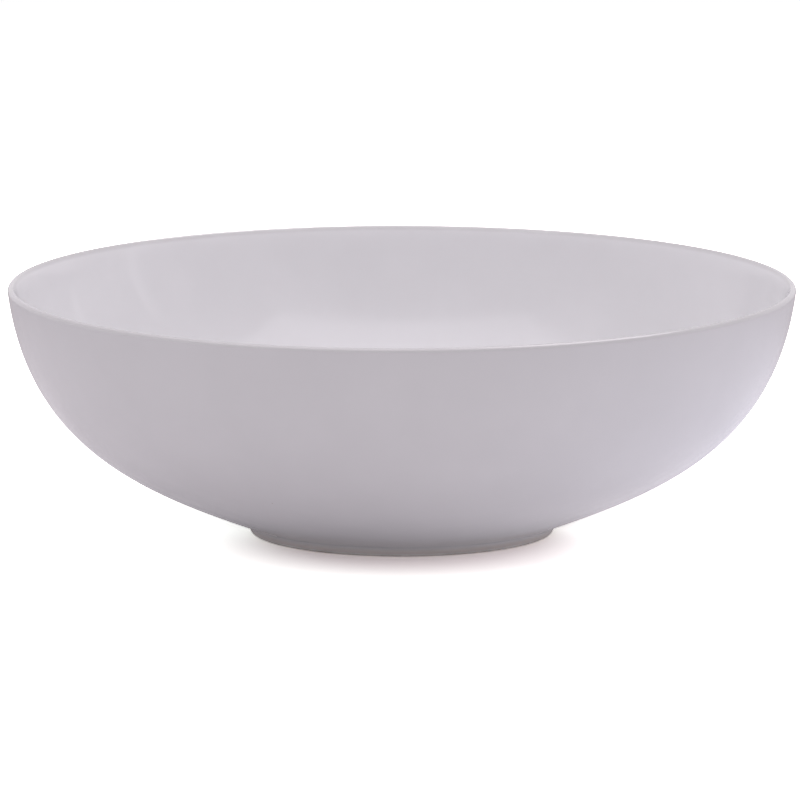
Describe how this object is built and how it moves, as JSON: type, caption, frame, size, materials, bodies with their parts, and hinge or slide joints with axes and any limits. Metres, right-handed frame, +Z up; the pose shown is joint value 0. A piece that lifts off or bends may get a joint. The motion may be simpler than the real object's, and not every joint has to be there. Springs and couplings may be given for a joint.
{
  "type": "serving bowl",
  "caption": "Wide round porcelain serving bowl with a smooth curved wall, a slightly flared rounded lip and a low foot ring.",
  "frame": {"origin": "centre of the standing face: on the bowl's axis, level with the surface it stands on", "axes": "+Z up along the bowl's axis of revolution; X and Y are any two square directions across it, because the bowl is round"},
  "size_m": [0.3, 0.3, 0.0947],
  "materials": {
    "bisque_body": "fired porcelain under the glaze, matt",
    "bare_foot": "unglazed porcelain, sanded smooth, matt",
    "inside_coat": "clear gloss glaze over white porcelain",
    "outside_coat": "clear gloss glaze over white porcelain, pooled a little in the notch above the foot",
    "underside_coat": "clear gloss glaze over white porcelain, a little duller than the rest"
  },
  "bodies": {
    "root": {"bowl_body": "bisque_body", "foot_ring": "bare_foot", "inside_glaze": "inside_coat", "outside_glaze": "outside_coat", "underside_glaze": "underside_coat"}
  },
  "joints": []
}
